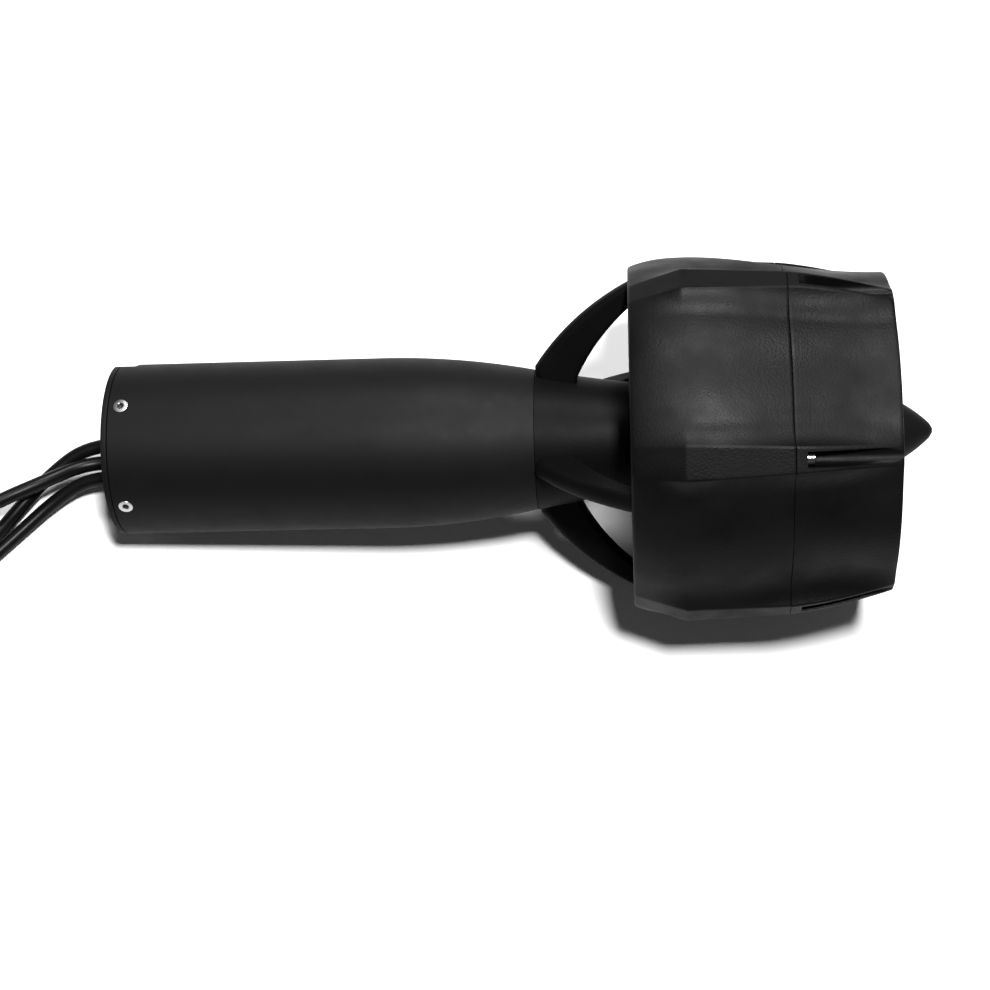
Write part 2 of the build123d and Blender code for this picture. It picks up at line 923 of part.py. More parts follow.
def prop_nut():
    start = nut_x
    body = Plane(origin=(start, 0, 0), x_dir=(0, 1, 0), z_dir=(1, 0, 0)) * RegularPolygon(
        nut_width / 2, 6, major_radius=False
    )
    nut = extrude(body, amount=nut_height - nut_collar_height)
    nut = nut + rod(start + nut_height - nut_collar_height, start + nut_height, nut_collar)
    return nut - rod(start, start + nut_height, thread_radius)


def spinner():
    """The tail cone: one long arc and a small round tip, on a spigot that fills the nut's pocket."""
    nose = prop_end + spinner_length
    spigot = nut_pocket_radius - slip_gap
    bore = thread_radius + slip_gap
    bore_end = prop_end + spinner_bore_depth
    belly = (prop_end + spinner_length * spinner_belly_share, spinner_belly_radius)
    side = arc_points((prop_end, prop_hub_radius), belly, (nose, spinner_tip), spinner_flat_count)
    outline = [
        *side,
        (nose, 0),
        (bore_end, 0),
        (bore_end, bore),
        (prop_end - spinner_spigot, bore),
        (prop_end - spinner_spigot, spigot),
        (prop_end, spigot),
    ]
    return turned(outline)


# Rest on the bench: the front cap's edge and the duct's lowest lobe touch it
def rest_tilt():
    stations = spread(duct_front_x, rib_kink_x, rest_station_count)
    return max(math.degrees(math.atan2(lobe_radius(x) - pod_radius, x - edge_break)) for x in stations)


# The free leads. Each leaves its gland straight, then takes points chosen one by one on the bench.
lead_straight = {"a": 13.0, "b": 13.0, "c": 12.0}
lead_runs = {
    "a": [
        (-180.5, -3.2, 7.8),
        (-194.5, -21.8, 6.4),
        (-205.0, -40.0, 9.6),
        (-214.5, -54.5, 13.2),
        (-227.38, -63.58, 13.75),
        (-239.5, -70.58, 13.75),
    ],
    "b": [
        (-180.0, -8.4, 16.7),
        (-195.5, -16.4, 16.7),
        (-210.5, -27.5, 20.0),
        (-220.59, -44.17, 24.75),
        (-226.09, -55.95, 24.75),
    ],
    "c": [
        (-177.0, -12.6, 6.6),
        (-190.5, -26.2, 3.6),
        (-205.0, -41.5, 2.75),
        (-220.5, -58.5, 2.75),
        (-235.45, -71.37, 2.75),
        (-249.14, -74.28, 2.75),
    ],
}
lead_ends = {
    "a": [
        (-269.95, -71.91, 19.25),
        (-282.6, -66.0, 18.2),
        (-295.0, -61.2, 10.6),
        (-307.5, -58.0, 3.35),
        (-322.0, -55.5, 3.35),
    ],
    "b": [
        (-279.33, -65.33, 30.25),
        (-289.2, -55.4, 29.2),
        (-298.5, -45.5, 21.0),
        (-308.0, -36.5, 10.0),
        (-318.5, -29.0, 3.35),
        (-331.5, -24.0, 3.35),
    ],
    "c": [
        (-261.73, -74.5, 8.25),
        (-275.5, -73.6, 7.2),
        (-288.5, -76.4, 3.35),
        (-302.0, -81.5, 3.35),
    ],
}


def lead_start(name):
    """The two points on the lead's straight run out of its gland, in the bench frame."""
    phase = math.radians(lead_phases[name])
    side = lead_circle * math.cos(phase)
    rise = lead_circle * math.sin(phase)
    points = []
    for x in (-gland_reach, -gland_reach - lead_straight[name]):
        points.append(
            (
                x * math.cos(lean) - rise * math.sin(lean) - middle_x,
                side,
                x * math.sin(lean) + rise * math.cos(lean) - floor_z,
            )
        )
    return points


def corner_radii(points):
    radii = []
    for before, here, after in zip(points, points[1:], points[2:]):
        first = Vector(here) - Vector(before)
        second = Vector(after) - Vector(here)
        turn = math.radians(first.get_angle(second))
        radii.append(arc_share * min(first.length, second.length) / math.tan(turn / 2))
    return radii


def cord_tube(name, points):
    """A many-sided cord along straight runs joined by tangent arcs."""
    radii = corner_radii(points)
    path = FilletPolyline(*points, radius=radii)
    first = Vector(points[1]) - Vector(points[0])
    end = Plane(origin=points[0], z_dir=first)
    round_section = RegularPolygon(lead_radius, cord_side_count)
    tube = sweep(end * round_section, path=path)
    lowest = min(p[2] for p in points) - lead_radius
    print(
        "cord", name, "length", round(path.length, 1), "radii", [round(r, 1) for r in radii],
        "volume share", round(tube.volume / (round_section.area * path.length), 5), "lowest", round(lowest, 2),
    )
    return tube


def coil_bundle(level):
    """The outer shape of one lead's put-away turns, lying on the bench or on the coil below."""
    lead = 2 * lead_radius
    outside = coil_outer_turn + lead_radius
    inside = coil_outer_turn - (coil_wide_count - 1) * lead - lead_radius
    height = coil_layer_count * lead
    ring = Cylinder(outside, height, align=(Align.CENTER, Align.CENTER, Align.MIN)) - Cylinder(
        inside, height, align=(Align.CENTER, Align.CENTER, Align.MIN)
    )
    return Pos(coil_centre_x, coil_centre_y, level * height) * ring


def coil_tie():
    """The band round all three coils."""
    lead = 2 * lead_radius
    wide = coil_wide_count * lead
    high = len(lead_phases) * coil_layer_count * lead
    middle = coil_outer_turn + lead_radius - wide / 2
    outer = Box(
        wide + 2 * (tie_thick + tie_ease), tie_width, high + tie_thick, align=(Align.CENTER, Align.CENTER, Align.MIN)
    )
    inner = Pos(0, 0, tie_thick) * Box(
        wide + 2 * tie_ease, tie_width, high - tie_thick, align=(Align.CENTER, Align.CENTER, Align.MIN)
    )
    return Pos(coil_centre_x, coil_centre_y, 0) * Rot(Z=tie_phase) * Pos(middle, 0, 0) * (outer - inner)


def lead_tip_place(points, back):
    """A place on a lead's last run, facing along it."""
    last = Vector(points[-1])
    way = (last - Vector(points[-2])).normalized()
    return Plane(origin=last - way * back, z_dir=way)


def lead_sleeve(points):
    place = lead_tip_place(points, sleeve_grip)
    body = Cylinder(lead_radius + sleeve_wall, sleeve_length, align=(Align.CENTER, Align.CENTER, Align.MIN))
    bore = Cylinder(lead_radius, sleeve_length, align=(Align.CENTER, Align.CENTER, Align.MIN))
    return place * (body - bore)


def bullet(points):
    """The bullet connector: its solder cup fills the sleeve, its pin stands out."""
    cup = sleeve_length - sleeve_grip
    profile = Polyline(
        (0, 0),
        (lead_radius, 0),
        (lead_radius, cup + bullet_shoulder),
        (bullet_pin_radius, cup + bullet_shoulder),
        (bullet_pin_radius, cup + bullet_pin_length - bullet_nose),
        (bullet_pin_radius - bullet_nose, cup + bullet_pin_length),
        (0, cup + bullet_pin_length),
        close=True,
    )
    shape = revolve(Plane.XZ * make_face(profile), Axis.Z)
    return lead_tip_place(points, 0) * shape


shaft_frame_parts = {
    "motor_housing": motor_housing(),
    "front_cap": front_cap(),
    "front_cap_seal": front_cap_seal(),
    "front_cap_screws": front_cap_screws(),
    "cable_glands": cable_glands(),
    "lead_tails": lead_tails(),
    "stator_core": stator_core(),
    "stator_windings": stator_windings(),
    "bearing_outer_rings": outer_rings(),
    "bearing_inner_rings": inner_rings(),
    "front_ball_set": ball_set(front_bearing_x),
    "rear_ball_set": ball_set(rear_bearing_x),
    "wave_washer": wave_washer(),
    "shaft_seals": shaft_seals(),
    "motor_shaft": motor_shaft(),
    "shaft_circlips": shaft_circlips(),
    "rotor_core": rotor_core(),
    "rotor_magnets": rotor_magnets(),
    "rotor_band": rotor_band(),
    "rotor_balance_rings": rotor_balance_rings(),
    "duct_front": duct_front(),
    "duct_rear": duct_rear(),
    "duct_screws": duct_screws(),
    "hub_screws": hub_screws(),
    "propeller": propeller(),
    "drive_pin": drive_pin(),
    "prop_washer": prop_washer(),
    "prop_nut": prop_nut(),
    "spinner": spinner(),
}

tilt = rest_tilt()
boxes = [(Rot(Y=-tilt) * shape).bounding_box() for shape in shaft_frame_parts.values()]
middle_x = (min(b.min.X for b in boxes) + max(b.max.X for b in boxes)) / 2
lean = math.radians(tilt)
floor_z = edge_break * math.sin(lean) - pod_radius * math.cos(lean)
bench = Pos(-middle_x, 0, -floor_z) * Rot(Y=-tilt)
parts = {name: bench * shape for name, shape in shaft_frame_parts.items()}
print("tilt", round(tilt, 4), "shift", round(-middle_x, 3), round(-floor_z, 3))
print("lowest", round(min(b.min.Z for b in boxes) - floor_z, 3))

for name, places in lead_runs.items():
    ends = lead_ends[name]
    points = lead_start(name) + places
    print("lead", name, "starts", [tuple(round(v, 3) for v in p) for p in points[:2]])
    parts["wire_" + name] = group([cord_tube(name, points), cord_tube(name + " end", ends)])
    parts["wire_sleeve_" + name] = lead_sleeve(ends)
    parts["wire_bullet_" + name] = bullet(ends)
for level, name in enumerate(("c", "a", "b")):
    parts["wire_coil_" + name] = coil_bundle(level)
parts["coil_tie"] = coil_tie()
parts["wire_coil_c"] = parts["wire_coil_c"] - parts["coil_tie"]

os.makedirs("parts", exist_ok=True)
for name, shape in parts.items():
    export_step(shape, "parts/" + name + ".step")
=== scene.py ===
import bpy
import bmesh
import json
import math
import numpy as np
from mathutils import Matrix, Vector


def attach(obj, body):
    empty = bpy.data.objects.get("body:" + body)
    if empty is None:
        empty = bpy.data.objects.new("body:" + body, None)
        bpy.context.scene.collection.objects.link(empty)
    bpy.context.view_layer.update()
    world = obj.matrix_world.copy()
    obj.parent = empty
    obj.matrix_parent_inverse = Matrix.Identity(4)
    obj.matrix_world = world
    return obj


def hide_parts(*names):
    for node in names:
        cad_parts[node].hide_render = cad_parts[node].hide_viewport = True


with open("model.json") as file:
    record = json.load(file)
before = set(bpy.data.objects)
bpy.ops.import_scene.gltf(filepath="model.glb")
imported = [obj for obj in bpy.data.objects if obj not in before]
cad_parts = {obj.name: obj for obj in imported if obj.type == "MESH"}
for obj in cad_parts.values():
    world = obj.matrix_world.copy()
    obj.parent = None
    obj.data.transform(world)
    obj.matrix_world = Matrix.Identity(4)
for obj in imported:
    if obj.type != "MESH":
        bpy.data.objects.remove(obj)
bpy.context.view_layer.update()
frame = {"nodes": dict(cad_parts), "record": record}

# The shaft frame: millimetres, x along the shaft from the pod's front face, angles from +Y
# towards +Z. Every rigid piece is shaped there and then laid on the bench, in metres.
TILT = math.radians(9.447047)
SHIFT = Vector((-0.149902, 0.0, 0.031994))
BENCH = Matrix.Translation(SHIFT) @ Matrix.Rotation(-TILT, 4, "Y")
TURN = 2 * math.pi

# Sizes in millimetres and angles in degrees. A circle is the radius on which the middles of
# several holes or screws lie.
POD_R = 32.5
POD_FRONT = 2.32
POD_STRAIGHT = 102.0
POD_LENGTH = 160.5
POD_END_R = 26.6
POD_BORE = 28.4
POD_TAIL_WALL = 150
POD_TAIL_BORE = 22.2
FLAT_ANGLE = 20.7
FLAT_DEPTH = 1.1
FLAT_HALF = 14.5
CAP_FLANGE = 2.12
CAP_DEPTH = 17.9
CAP_RECESS = 10.0
CAP_RECESS_R = 13.0
CAP_SCREW_X = 6.9
CAP_SCREW_ANGLES = [82.0 + 72.0 * i for i in range(4)]
CAP_SCREW_SINK = 0.17
BOLT_CIRCLE = 23
BOLT_R = 1.65
LEAD_CIRCLE = 17.5
LEAD_HOLE_R = 4.0
LEAD_ANGLES = (-61.5, -84.0, -106.5)

DUCT_FRONT = 196.1
DUCT_KINK = 215.3
DUCT_SEAM = 253.0
DUCT_REAR = 291.0
DUCT_BORE = 57.3
SEAM_HALF_GAP = 0.03
MOUTH_R = 62.6
MOUTH_LENGTH = 30.0
RIBS = 6
RIB_R = 71.3
RIB_FRONT_FALL = 6.6
RIB_SEAM_FALL = 1.4
RIB_REAR_FALL = 6.9
RIB_HALF = 6.35
RIB_FRONT_NARROWING = 1.2
RIB_REAR_NARROWING = 3.0
LOBE_TOP = 217.0
LOBE_R = 67.3
LOBE_REAR_R = 59.7
LOBE_FRONT_FALL = 3.2
FOOT_ANGLE = math.radians(13.5)
DUCT_SCREW_X = 257.0
DUCT_SCREW_CIRCLE = 64.4
CHANNEL_HALF = 2.95
CHANNEL_HEIGHT = 9.0

HUB_END = 228.0
HUB_BORE = 8.0
HUB_PLUG = 165.0
HUB_PLUG_R = 21.0
HUB_SCREW_X = 168.0
HUB_SCREW_CIRCLE = 13.5
HUB_SCREW_HOLE_R = 3.65
STRUT_HALF = 3.5
STRUT_NOSE_SHARE = 0.22
STRUT_FLAT_SHARE = 0.66
STRUT_TAIL_SHARE = 0.12
STRUT_TAIL_THINNING = 1.9

PROP_X = 232.0
PROP_END = 277.0
PROP_BORE = 5.1
PROP_HUB_R = 17.5
PROP_NUT_ROOM = 264.0
PROP_NUT_ROOM_R = 10.6
PROP_HALF_GAP = 0.02
BLADE_X = PROP_X + 22.0
BLADE_PITCH = 118.0
BLADE_FOOT_R = 13.1
BLADE_START_R = 14.5
BLADE_SHARES = [0, 0.32, 0.66, 1.0]
BLADE_CHORDS = [31.0, 38.2, 41.0, 38.0]
BLADE_THICKS = [5.0, 3.7, 2.6, 1.8]
BLADE_EDGE_HALF = 0.45
BLADE_CAMBER = 0.35
TIP_R = 56.3
SPINNER_LENGTH = 32.0


# Camera
def make_camera():
    """The camera that was fitted to the photograph."""
    data = bpy.data.cameras.new("camera")
    data.sensor_fit = "HORIZONTAL"
    data.sensor_width = 36.0
    data.lens = 74.909
    data.clip_start = 0.05
    data.clip_end = 30.0
    cam = bpy.data.objects.new("camera", data)
    right = Vector((0.99583, 0.00428, 0.09114)).normalized()
    ahead = Vector((0.08378, 0.3526, -0.93202)).normalized()
    up = right.cross(ahead).normalized()
    turn = Matrix((right, up, -ahead)).transposed().to_4x4()
    cam.matrix_world = Matrix.Translation((-0.07248, -0.29628, 0.78016)) @ turn
    bpy.context.scene.collection.objects.link(cam)
    bpy.context.scene.camera = cam


make_camera()


# Materials
def new_material(name):
    material = bpy.data.materials.new(name)
    material.use_nodes = True
    nodes, links = material.node_tree.nodes, material.node_tree.links
    return material, nodes, links, nodes["Principled BSDF"]


def noise(nodes, links, coords, scale, detail=3.0):
    node = nodes.new("ShaderNodeTexNoise")
    node.inputs["Scale"].default_value = scale
    node.inputs["Detail"].default_value = detail
    node.inputs["Roughness"].default_value = 0.55
    links.new(coords, node.inputs["Vector"])
    return node.outputs["Fac"]


def ramp(nodes, links, source, low, high, start, end):
    """Low to high while the source goes from start to end."""
    node = nodes.new("ShaderNodeMapRange")
    node.inputs["From Min"].default_value = start
    node.inputs["From Max"].default_value = end
    node.inputs["To Min"].default_value = low
    node.inputs["To Max"].default_value = high
    links.new(source, node.inputs["Value"])
    return node.outputs["Result"]


def colour_mix(nodes, links, source, first, second):
    node = nodes.new("ShaderNodeMix")
    node.data_type = "RGBA"
    node.inputs["A"].default_value = (*first, 1)
    node.inputs["B"].default_value = (*second, 1)
    links.new(source, node.inputs["Factor"])
    return node.outputs["Result"]


def bump(nodes, links, source, strength, distance):
    node = nodes.new("ShaderNodeBump")
    node.inputs["Strength"].default_value = strength
    node.inputs["Distance"].default_value = distance
    links.new(source, node.inputs["Height"])
    return node.outputs["Normal"]


COLOUR_SCALE = 60.0
PATCH_START, PATCH_END = 0.3, 0.7


def textured(name, first, second, rough_low, rough_high, metal=0.0, rough_scale=90.0,
             bump_scale=2500.0, bump_strength=0.15, bump_distance=0.0002, stretch=(1, 1, 1),
             specular=0.5, detail=3.0):
    """A finish whose colour, roughness and fine relief all vary, its noise laid along the shaft."""
    material, nodes, links, shader = new_material(name)
    coords = nodes.new("ShaderNodeTexCoord")
    mapping = nodes.new("ShaderNodeMapping")
    mapping.inputs["Rotation"].default_value = (0, TILT, 0)
    mapping.inputs["Scale"].default_value = stretch
    links.new(coords.outputs["Object"], mapping.inputs["Vector"])
    place = mapping.outputs["Vector"]
    tone = noise(nodes, links, place, COLOUR_SCALE)
    links.new(colour_mix(nodes, links, tone, first, second), shader.inputs["Base Color"])
    patch = noise(nodes, links, place, rough_scale)
    rough = ramp(nodes, links, patch, rough_low, rough_high, PATCH_START, PATCH_END)
    links.new(rough, shader.inputs["Roughness"])
    grain = noise(nodes, links, place, bump_scale, detail)
    relief = bump(nodes, links, grain, bump_strength, bump_distance)
    links.new(relief, shader.inputs["Normal"])
    shader.inputs["Metallic"].default_value = metal
    shader.inputs["Specular IOR Level"].default_value = specular
    return material


anodised = textured(
    "anodised", (0.0024, 0.0024, 0.0027), (0.0038, 0.0038, 0.0042), 0.54, 0.62,
    bump_scale=3200, bump_strength=0.16, specular=0.16)
moulding = textured(
    "moulding", (0.0018, 0.0018, 0.0020), (0.0034, 0.0034, 0.0037), 0.34, 0.64, rough_scale=34.0,
    bump_scale=1250, bump_strength=0.75, bump_distance=0.00017, specular=0.14, detail=5.0)
strut_moulding = textured(
    "strut_moulding", (0.0016, 0.0016, 0.0018), (0.0028, 0.0028, 0.0031), 0.46, 0.58,
    rough_scale=40.0, bump_scale=1100, bump_strength=0.35, bump_distance=0.00014,
    specular=0.075, detail=5.0)
stainless = textured(
    "stainless", (0.60, 0.60, 0.61), (0.72, 0.72, 0.73), 0.24, 0.36, metal=1.0,
    bump_scale=1800, bump_strength=0.08)
silicone = textured(
    "silicone", (0.0028, 0.0028, 0.0032), (0.0046, 0.0046, 0.0052), 0.30, 0.40,
    bump_scale=900, bump_strength=0.10, specular=0.15)
bright_steel = textured(
    "bright_steel", (0.50, 0.50, 0.51), (0.62, 0.62, 0.63), 0.12, 0.2, metal=1.0,
    bump_scale=1800, bump_strength=0.06)
# Painted shade: a near-black, half-metal steel for the screws' hexagon sockets, standing in for the
# shade inside them.
socket_painted_shade = textured(
    "socket_painted_shade", (0.035, 0.035, 0.036), (0.06, 0.06, 0.061), 0.5, 0.65, metal=0.6,
    bump_scale=2600, bump_strength=0.3)
seal_rubber = textured(
    "seal_rubber", (0.012, 0.012, 0.0125), (0.02, 0.02, 0.02), 0.5, 0.62,
    bump_scale=2200, bump_strength=0.2)
resin = textured(
    "gland_resin", (0.006, 0.006, 0.0065), (0.010, 0.010, 0.011), 0.26, 0.4,
    bump_scale=700, bump_strength=0.14, specular=0.3)
electrical_steel = textured(
    "electrical_steel", (0.24, 0.24, 0.25), (0.36, 0.36, 0.37), 0.4, 0.55, metal=1.0,
    stretch=(40, 1, 1), bump_scale=80, bump_strength=0.3)
copper = textured(
    "copper", (0.52, 0.19, 0.075), (0.66, 0.27, 0.11), 0.24, 0.36, metal=1.0,
    stretch=(1, 12, 12), bump_scale=160, bump_strength=0.5)
magnet = textured("magnet", (0.58, 0.57, 0.55), (0.7, 0.69, 0.66), 0.18, 0.3, metal=1.0)
band = textured(
    "band", (0.02, 0.02, 0.02), (0.04, 0.04, 0.04), 0.3, 0.45,
    stretch=(30, 1, 1), bump_scale=120, bump_strength=0.3)
bearing_steel = textured(
    "bearing_steel", (0.64, 0.64, 0.65), (0.74, 0.74, 0.75), 0.1, 0.2, metal=1.0)
aluminium = textured("aluminium", (0.6, 0.6, 0.61), (0.7, 0.7, 0.71), 0.28, 0.4, metal=1.0)
gold = textured("gold_plate", (0.75, 0.49, 0.16), (0.86, 0.6, 0.24), 0.16, 0.28, metal=1.0)
tape = textured(
    "tape", (0.008, 0.008, 0.008), (0.018, 0.018, 0.018), 0.75, 0.95,
    bump_scale=1600, bump_strength=0.9, bump_distance=0.0006)

SLOT_MATERIALS = {
    "anodised": anodised, "moulding": moulding, "stainless": stainless, "silicone": silicone,
    "seal_rubber": seal_rubber, "gland_resin": resin, "electrical_steel": electrical_steel,
    "copper": copper, "magnet": magnet, "band": band, "bearing_steel": bearing_steel,
    "zinc": aluminium, "gold_plate": gold, "tie": tape,
}
for part in frame["record"]["subparts"]:
    node = frame["nodes"][part["node"]]
    node.data.materials.clear()
    node.data.materials.append(SLOT_MATERIALS[part["material_slot"]])


# Leads: their first and last points are the source's own, in metres on the bench. Between them
# lie four turns and a part of a fifth, in two layers. The tracks give a turn's radius and its
# height above the lower layer, in millimetres, at degrees of travel along the coil.
CORD = 0.0055
COIL_CENTRE = (-0.256, -0.042)
COIL_TURNS = 4
TURN_STEP = 22.5
NARROW = 27.5
WIDE = 33.0
LOOSE = 38.5
LAYER = 5.5
SWAY_REACH = 0.25
RADIUS_TRACK = [
    (0, WIDE), (320, WIDE), (360, NARROW), (950, NARROW),
    (990, WIDE), (1310, WIDE), (1350, LOOSE), (1600, LOOSE),
]
HEIGHT_TRACK = [(0, 0.0), (635, 0.0), (675, LAYER), (1600, LAYER)]


def track(travel, stops):
    """The value at a travel, eased from each stop to the next."""
    for (a, low), (b, high) in zip(stops, stops[1:]):
        if travel <= b:
            t = (travel - a) / (b - a)
            return low + (high - low) * t * t * (3 - 2 * t)
    return stops[-1][1]


def coil_turns(entry, extra, level, sway):
    """Clockwise from above, two turns on the lower layer and two on the upper, and the loose end
    outside them. Entry and the extra travel are in degrees, the lower layer's level is in
    millimetres, and the radius sways a little with the travel. A curve of order 3 runs inside
    its points, so they stand out by the reach."""
    points = []
    total = COIL_TURNS * 360 + extra
    steps = round(total / TURN_STEP)
    reach = 1 / (0.75 + 0.25 * math.cos(math.radians(TURN_STEP)))
    for k in range(1, steps + 1):
        travel = total * k / steps
        angle = math.radians(entry - travel)
        radius = track(travel, RADIUS_TRACK) + SWAY_REACH * math.sin(travel * sway)
        radius = radius * reach / 1000
        height = (level + track(travel, HEIGHT_TRACK)) / 1000
        x = COIL_CENTRE[0] + radius * math.cos(angle)
        y = COIL_CENTRE[1] + radius * math.sin(angle)
        points.append((x, y, height))
    return points


def lead(name, start, turns, end):
    points = [Vector(p) for p in start + turns + end]
    curve = bpy.data.curves.new("lead_" + name, "CURVE")
    curve.dimensions = "3D"
    spline = curve.splines.new("NURBS")
    spline.points.add(len(points) - 1)
    for place, point in zip(spline.points, points):
        place.co = (*point, 1.0)
    spline.order_u = 3
    spline.use_endpoint_u = True
    spline.resolution_u = 8
    curve.bevel_depth = CORD / 2
    curve.bevel_resolution = 7
    curve.use_fill_caps = True
    cord = bpy.data.objects.new("lead_" + name, curve)
    bpy.context.scene.collection.objects.link(cord)
    curve.materials.append(silicone)
    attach(cord, "pod")
    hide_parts("wire_" + name, "wire_coil_" + name)
    return cord


LEAD_A = [
    (-0.152309, 0.00835, 0.016002), (-0.165133, 0.00835, 0.013868), (-0.1805, -0.0032, 0.0078),
    (-0.1945, -0.0218, 0.0064), (-0.205, -0.04, 0.0096), (-0.2145, -0.0545, 0.0132),
    (-0.22738, -0.06358, 0.01375), (-0.2395, -0.07058, 0.01375),
]
LEAD_A_END = [
    (-0.2856, -0.0707, 0.0182), (-0.2966, -0.0622, 0.0106),
    (-0.3075, -0.058, 0.00335), (-0.322, -0.0555, 0.00335),
]
LEAD_B = [
    (-0.151977, 0.001829, 0.014005), (-0.164801, 0.001829, 0.011871), (-0.18, -0.0084, 0.0167),
    (-0.1955, -0.0164, 0.0167), (-0.2105, -0.0275, 0.02), (-0.22059, -0.04417, 0.02475),
    (-0.22609, -0.05595, 0.02475),
]
LEAD_B_END = [
    (-0.2926, -0.0579, 0.0292), (-0.3003, -0.0461, 0.021), (-0.308, -0.0365, 0.01),
    (-0.3185, -0.029, 0.00335), (-0.3315, -0.024, 0.00335),
]
LEAD_C = [
    (-0.15208, -0.00497, 0.014621), (-0.163917, -0.00497, 0.012651), (-0.177, -0.0126, 0.0066),
    (-0.1905, -0.0262, 0.0036), (-0.205, -0.0415, 0.00275), (-0.2205, -0.0585, 0.00275),
    (-0.23545, -0.07137, 0.00275), (-0.24914, -0.07428, 0.00275),
]
LEAD_C_END = [
    (-0.2766, -0.0786, 0.0072), (-0.2885, -0.0782, 0.00335), (-0.302, -0.0815, 0.00335),
]
leads = {
    "a": lead("a", LEAD_A, coil_turns(-60.0, 55.0, 13.75, 0.021), LEAD_A_END),
    "b": lead("b", LEAD_B, coil_turns(-25.0, 110.0, 24.75, 0.017), LEAD_B_END),
    "c": lead("c", LEAD_C, coil_turns(-78.0, 22.0, 2.75, 0.019), LEAD_C_END),
}


# Pieces
def face_outwards(mesh):
    tidy = bmesh.new()
    tidy.from_mesh(mesh)
    bmesh.ops.recalc_face_normals(tidy, faces=tidy.faces)
    tidy.to_mesh(mesh)
    tidy.free()


def add_piece(name, points, faces, body, slot, replaced=(), sharp=32.0, finish=None):
    """A smooth mesh from points in the shaft frame, its edges sharp above an angle in degrees."""
    mesh = bpy.data.meshes.new(name)
    mesh.from_pydata([tuple(BENCH @ (Vector(p) / 1000)) for p in points], [], faces)
    mesh.validate()
    face_outwards(mesh)
    for face in mesh.polygons:
        face.use_smooth = True
    piece = bpy.data.objects.new(name, mesh)
    bpy.context.scene.collection.objects.link(piece)
    mesh.materials.append(finish or SLOT_MATERIALS[slot])
    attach(piece, body)
    if replaced:
        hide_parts(*replaced)
    mesh.set_sharp_from_angle(angle=math.radians(sharp))
    return piece


def places(*pairs):
    return [Vector(pair) for pair in pairs]


def soft_corners(corners, steps=5):
    """A profile of (x, r, rounding) corners with each corner cut back and rounded."""
    out = []
    for i, (x, r, size) in enumerate(corners):
        here = Vector((x, r))
        if size == 0 or i in (0, len(corners) - 1):
            out.append(here)
            continue
        before = Vector(corners[i - 1][:2]) - here
        after = Vector(corners[i + 1][:2]) - here
        cut = min(size, before.length * 0.49, after.length * 0.49)
        first = here + before.normalized() * cut
        last = here + after.normalized() * cut
        out.extend(rounded(first, here, last, steps))
    return out


def rounded(first, corner, last, steps):
    """Points from the first to the last, drawn towards the corner between them."""
    points = []
    for k in range(steps + 1):
        t = k / steps
        points.append(first * (1 - t) ** 2 + corner * 2 * t * (1 - t) + last * t * t)
    return points


def arc(start, middle, end, count):
    """Points of the arc through three (x, r) places, both ends included."""
    (ax, ay), (bx, by), (cx, cy) = start, middle, end
    d = 2 * (ax * (by - cy) + bx * (cy - ay) + cx * (ay - by))
    aa, bb, cc = ax * ax + ay * ay, bx * bx + by * by, cx * cx + cy * cy
    ux = (aa * (by - cy) + bb * (cy - ay) + cc * (ay - by)) / d
    uy = (aa * (cx - bx) + bb * (ax - cx) + cc * (bx - ax)) / d
    radius = math.hypot(ax - ux, ay - uy)
    first = math.atan2(ay - uy, ax - ux)
    turn = (math.atan2(cy - uy, cx - ux) - first) % TURN
    if (math.atan2(by - uy, bx - ux) - first) % TURN > turn:
        turn -= TURN
    angles = [first + turn * k / count for k in range(count + 1)]
    return [(ux + radius * math.cos(a), uy + radius * math.sin(a)) for a in angles]


def tangent_arc(start, end, count):
    """An arc that leaves the start along the shaft and falls to the end."""
    run = end[0] - start[0]
    drop = start[1] - end[1]
    bend = (run * run + drop * drop) / (2 * drop)
    half = math.asin(run / bend) / 2
    middle = (start[0] + bend * math.sin(half), start[1] - bend * (1 - math.cos(half)))
    return arc(start, middle, end, count)


def skin(loops, closed=False, capped=False):
    """Points and faces of the skin over loops of as many points each. A loop of one is a tip."""
    count = max(len(loop) for loop in loops)
    points, rows = [], []
    for loop in loops:
        first = len(points)
        rows.append(list(range(first, first + count)) if len(loop) > 1 else [first] * count)
        points.extend(loop)
    faces = []
    for low, high in zip(rows, rows[1:] + rows[:1] if closed else rows[1:]):
        for k in range(count):
            n = (k + 1) % count
            face = list(dict.fromkeys((low[k], low[n], high[n], high[k])))
            if len(face) > 2:
                faces.append(face)
    if capped:
        faces += [rows[0], rows[-1]]
    return points, faces


def prism(front, back):
    """Points and faces of the solid between two equal outlines."""
    count = len(front)
    sides = [[k, (k + 1) % count, count + (k + 1) % count, count + k] for k in range(count)]
    return front + back, [list(range(count)), list(range(count, 2 * count))] + sides


def lathe(profile, segments, closed=False):
    """Points and faces of an (x, r) profile turned about the shaft axis."""
    angles = [TURN * k / segments for k in range(segments)]
    loops = []
    for x, r in profile:
        ring = [(x, r * math.cos(a), r * math.sin(a)) for a in angles]
        loops.append(ring if r > 1e-6 else [(x, 0, 0)])
    return skin(loops, closed)


def moved(shape, matrix):
    points, faces = shape
    return [tuple(matrix @ Vector(p)) for p in points], faces


def joined(*shapes):
    points, faces = [], []
    for more_points, more_faces in shapes:
        base = len(points)
        points.extend(more_points)
        faces.extend([[v + base for v in face] for face in more_faces])
    return points, faces


def round_shaft(degrees):
    return Matrix.Rotation(math.radians(degrees), 4, "X")


def on_side(x, radius, degrees):
    """A place on the pod's side whose +Z faces outwards."""
    return round_shaft(degrees) @ Matrix.Translation((x, radius, 0)) @ round_shaft(-90)


def along_shaft(x, circle, degrees):
    """A place beside the shaft whose +Z faces the propeller."""
    turned = Matrix.Rotation(math.pi / 2, 4, "Y")
    return round_shaft(degrees) @ Matrix.Translation((x, circle, 0)) @ turned


